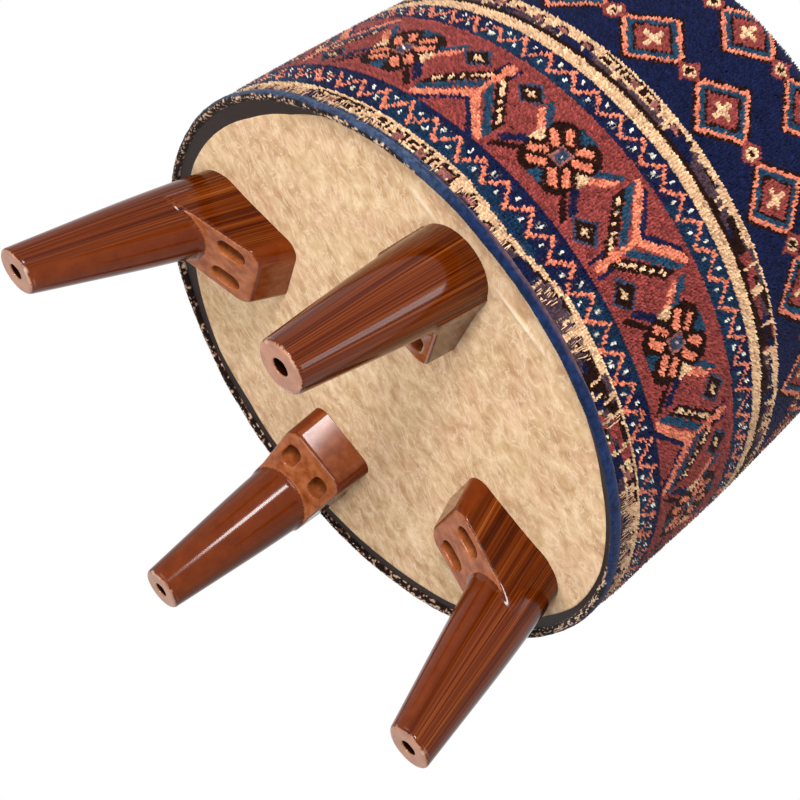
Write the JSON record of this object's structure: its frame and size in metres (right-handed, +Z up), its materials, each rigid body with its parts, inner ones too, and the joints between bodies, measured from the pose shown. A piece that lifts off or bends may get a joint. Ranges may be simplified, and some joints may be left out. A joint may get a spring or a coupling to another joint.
{
  "type": "carpet pouf",
  "caption": "Round drum pouf covered with knotted carpet, on splayed moulded legs screwed to a suede-covered underside.",
  "frame": {"origin": "on the floor, on the drum's vertical axis", "axes": "+Z up along the drum's axis, the front leg at -Y, the right leg at +X"},
  "size_m": [0.3822, 0.3828, 0.41],
  "materials": {
    "plywood": "matte",
    "timber": "matte",
    "hardboard": "matte",
    "suede": "matte",
    "tape": "satin",
    "leg": "gloss",
    "screw": "satin",
    "selvedge": "matte",
    "carpet": "matte",
    "seat_carpet": "matte",
    "foam": "matte",
    "wadding": "matte"
  },
  "bodies": {
    "root": {"base_board": "plywood", "dust_cover": "suede", "hem_tape": "tape", "leg_left": "leg", "leg_front": "leg", "leg_right": "leg", "leg_back": "leg", "leg_screw_left_1": "screw", "leg_screw_left_2": "screw", "leg_screw_front_1": "screw", "leg_screw_front_2": "screw", "leg_screw_right_1": "screw", "leg_screw_right_2": "screw", "leg_screw_back_1": "screw", "leg_screw_back_2": "screw", "post_1": "timber", "post_2": "timber", "post_3": "timber", "post_4": "timber", "post_5": "timber", "post_6": "timber", "post_screw_low_1": "screw", "post_screw_top_1": "screw", "post_screw_low_2": "screw", "post_screw_top_2": "screw", "post_screw_low_3": "screw", "post_screw_top_3": "screw", "post_screw_low_4": "screw", "post_screw_top_4": "screw", "post_screw_low_5": "screw", "post_screw_top_5": "screw", "post_screw_low_6": "screw", "post_screw_top_6": "screw", "rug_selvedge": "selvedge", "rug_side": "carpet", "rug_top": "seat_carpet", "seat_foam": "foam", "side_wadding": "wadding", "side_wall": "hardboard", "top_board": "plywood"}
  },
  "joints": []
}
